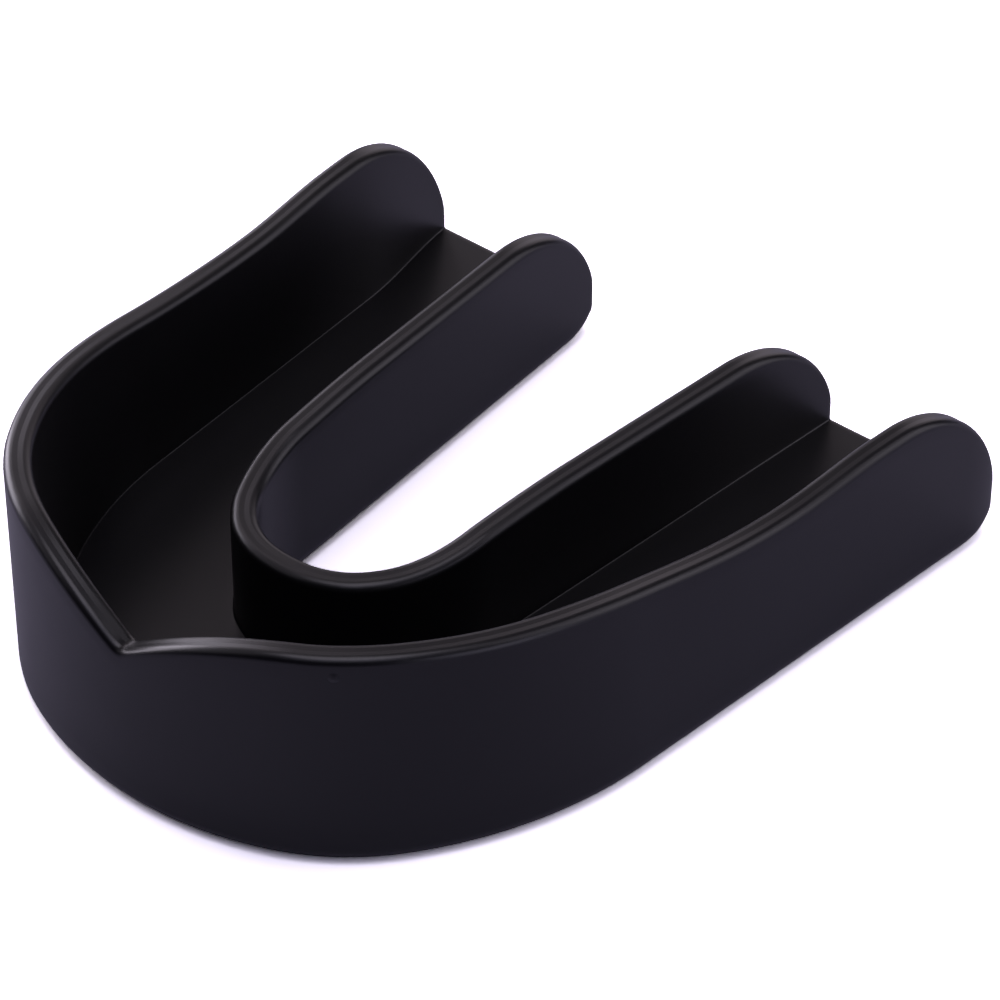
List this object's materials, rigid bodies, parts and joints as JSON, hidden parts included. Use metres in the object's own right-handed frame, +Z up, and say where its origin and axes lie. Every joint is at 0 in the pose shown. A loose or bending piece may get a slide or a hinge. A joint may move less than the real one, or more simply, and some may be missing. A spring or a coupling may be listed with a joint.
{
  "type": "boil-and-bite mouthguard",
  "caption": "U-shaped sports mouthguard with a tall lip wall notched at the front, a lower tongue-side wall and an open tooth channel.",
  "frame": {"origin": "on the flat underside, at the middle of the guard's width and depth", "axes": "+Z up out of the tooth channel; -Y to the front of the mouth, where the lip notch is; +Y back along the two arms; +X to the right seen from above with the notch towards the viewer"},
  "size_m": [0.0598, 0.0676, 0.0195],
  "materials": {
    "shell": "semi-gloss moulded",
    "liner": "satin moulded"
  },
  "bodies": {
    "root": {"outer_shell": "shell", "fit_liner": "liner"}
  },
  "joints": []
}
